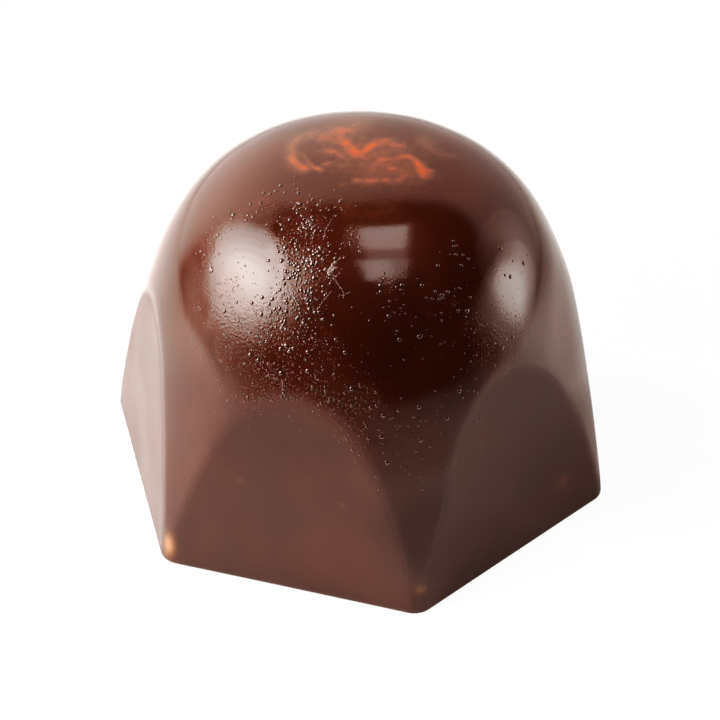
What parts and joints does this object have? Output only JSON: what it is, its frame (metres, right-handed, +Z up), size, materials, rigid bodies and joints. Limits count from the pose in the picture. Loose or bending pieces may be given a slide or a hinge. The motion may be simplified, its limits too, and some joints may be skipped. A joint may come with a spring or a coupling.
{
  "type": "chocolate praline",
  "caption": "Moulded dark chocolate praline: glossy round dome over a hexagonal foot with arched flat facets and an orange smear on the crown, a bite-size filled sweet",
  "frame": {"origin": "centre of the flat foot, on the dome's axis", "axes": "+Z up along the dome's axis; -Y faces out of the front facet; two opposite foot corners lie on X"},
  "size_m": [0.0296, 0.026, 0.02],
  "materials": {
    "chocolate": "gloss"
  },
  "bodies": {
    "root": {"praline": "chocolate"}
  },
  "joints": []
}
